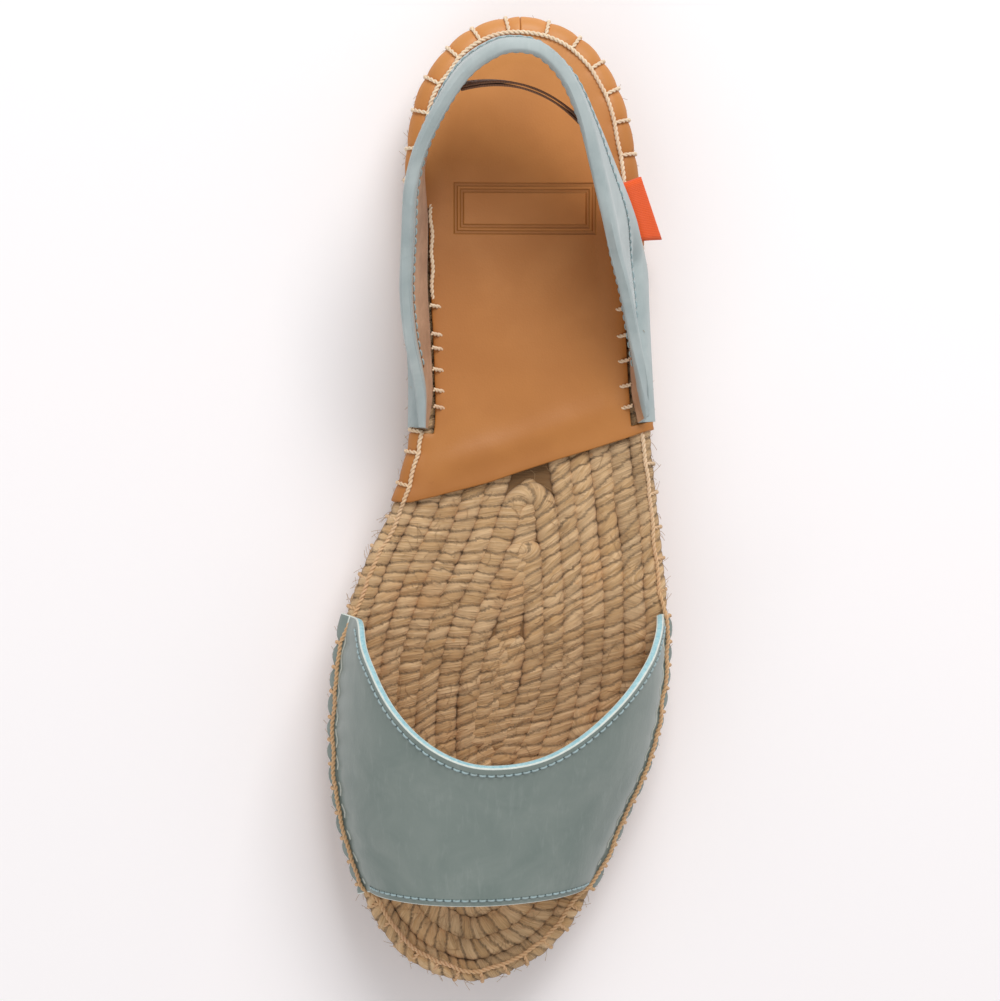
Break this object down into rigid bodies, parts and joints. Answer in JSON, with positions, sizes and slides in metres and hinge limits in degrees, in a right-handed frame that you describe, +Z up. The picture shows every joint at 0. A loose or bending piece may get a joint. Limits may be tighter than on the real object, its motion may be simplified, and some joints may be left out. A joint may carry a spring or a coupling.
{
  "type": "avarca sandal",
  "caption": "Flat open-toe slingback sandal with a leather vamp band, a heel strap, a half leather insole and a coiled braided jute sole.",
  "frame": {"origin": "on the ground, under the middle of the sole's length and breadth", "axes": "+Z up, -Y towards the toe, +X towards the outer (lateral) side of the left foot"},
  "size_m": [0.0902, 0.2518, 0.0756],
  "materials": {
    "rubber": "matt, natural brown",
    "jute": "undyed braided jute",
    "tan_leather": "smooth, soft sheen",
    "blue_nubuck": "brushed nubuck, grey blue",
    "pale_nubuck": "brushed nubuck, pale grey blue",
    "brown_elastic": "woven elastic",
    "orange_ribbon": "woven ribbon"
  },
  "bodies": {
    "root": {"outsole": "rubber", "jute_sole": "jute", "insole": "tan_leather", "vamp": "blue_nubuck", "heel_strap": "pale_nubuck", "heel_elastic": "brown_elastic", "side_tab": "orange_ribbon"}
  },
  "joints": []
}
